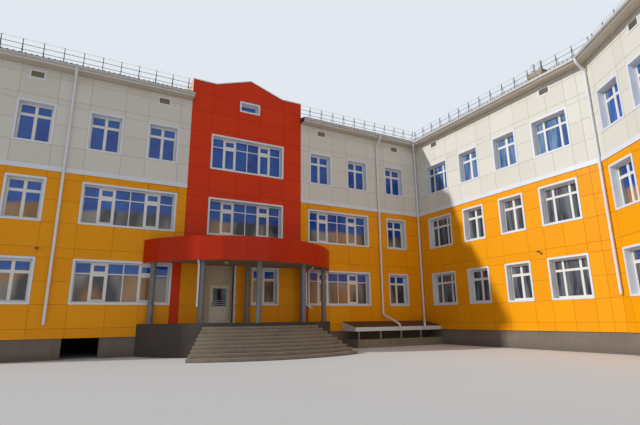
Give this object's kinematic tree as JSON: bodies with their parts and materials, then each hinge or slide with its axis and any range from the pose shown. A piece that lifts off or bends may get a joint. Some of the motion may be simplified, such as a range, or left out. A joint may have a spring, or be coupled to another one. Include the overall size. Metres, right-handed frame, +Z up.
{
  "type": "school building",
  "caption": "Three-storey school in orange, yellow and cream panels, with a red gabled entrance tower, a curved canopy over round steps, and a wing whose end block bends along the court.",
  "frame": {"origin": "on the entrance axis, in the middle of the front wall's thickness, at ground level", "axes": "+Z up, +Y from the court into the building, +X along the entrance front towards the wing"},
  "size_m": [38.34, 37.7197, 17.8005],
  "materials": {
    "masonry": "matt",
    "floor_slab": "matt",
    "roof_sheet": "satin",
    "yellow_panel": "satin",
    "cream_panel": "satin",
    "red_panel": "satin",
    "white_trim": "satin",
    "white_frame": "satin",
    "window_glass": "polished",
    "railing_paint": "satin",
    "concrete": "matt",
    "column_paint": "satin",
    "plaster": "matt",
    "door_paint": "satin",
    "steel": "satin",
    "lamp_white": "satin",
    "lean_roof_sheet": "satin",
    "flue_metal": "satin"
  },
  "bodies": {
    "building": {"front_wall": "masonry", "tower_wall": "masonry", "entrance_walls": "masonry", "entrance_threshold": "concrete", "rear_wall": "masonry", "end_walls": "masonry", "wing_court_wall": "masonry", "wing_outer_wall": "masonry", "bend_court_wall": "masonry", "bend_outer_wall": "masonry", "main_floors": "floor_slab", "wing_floors": "floor_slab", "bend_floors": "floor_slab", "main_roof": "roof_sheet", "wing_roof": "roof_sheet", "bend_roof": "roof_sheet", "yellow_cladding": "yellow_panel", "cream_cladding": "cream_panel", "tower_cladding": "red_panel", "belt_course": "white_trim", "window_surrounds": "white_trim", "window_frames": "white_frame", "window_glass": "window_glass", "eaves_soffit": "white_trim", "gutters": "white_trim", "downpipes": "white_trim", "roof_railing": "railing_paint", "porch_platform": "concrete", "porch_steps": "concrete", "porch_columns": "column_paint", "canopy_slab": "concrete", "canopy_fascia": "red_panel", "lamps": "lamp_white", "door_infill": "plaster", "door_frame": "door_paint", "door_hinges": "steel", "areaway_kerb": "concrete", "areaway_posts": "white_trim", "areaway_roof": "lean_roof_sheet", "areaway_boards": "white_trim", "attic_vents": "white_trim", "flue_stack": "flue_metal"},
    "entrance_door": {"door_leaf": "door_paint", "door_glass": "window_glass", "door_handle": "steel"}
  },
  "joints": [
    {"name": "entrance_door_hinge", "type": "hinge", "parent": "building", "child": "entrance_door", "pos_m": [-0.797, 0.1217, 1.56], "axis": [0, 0, 1], "range_deg": [0, 100]}
  ]
}
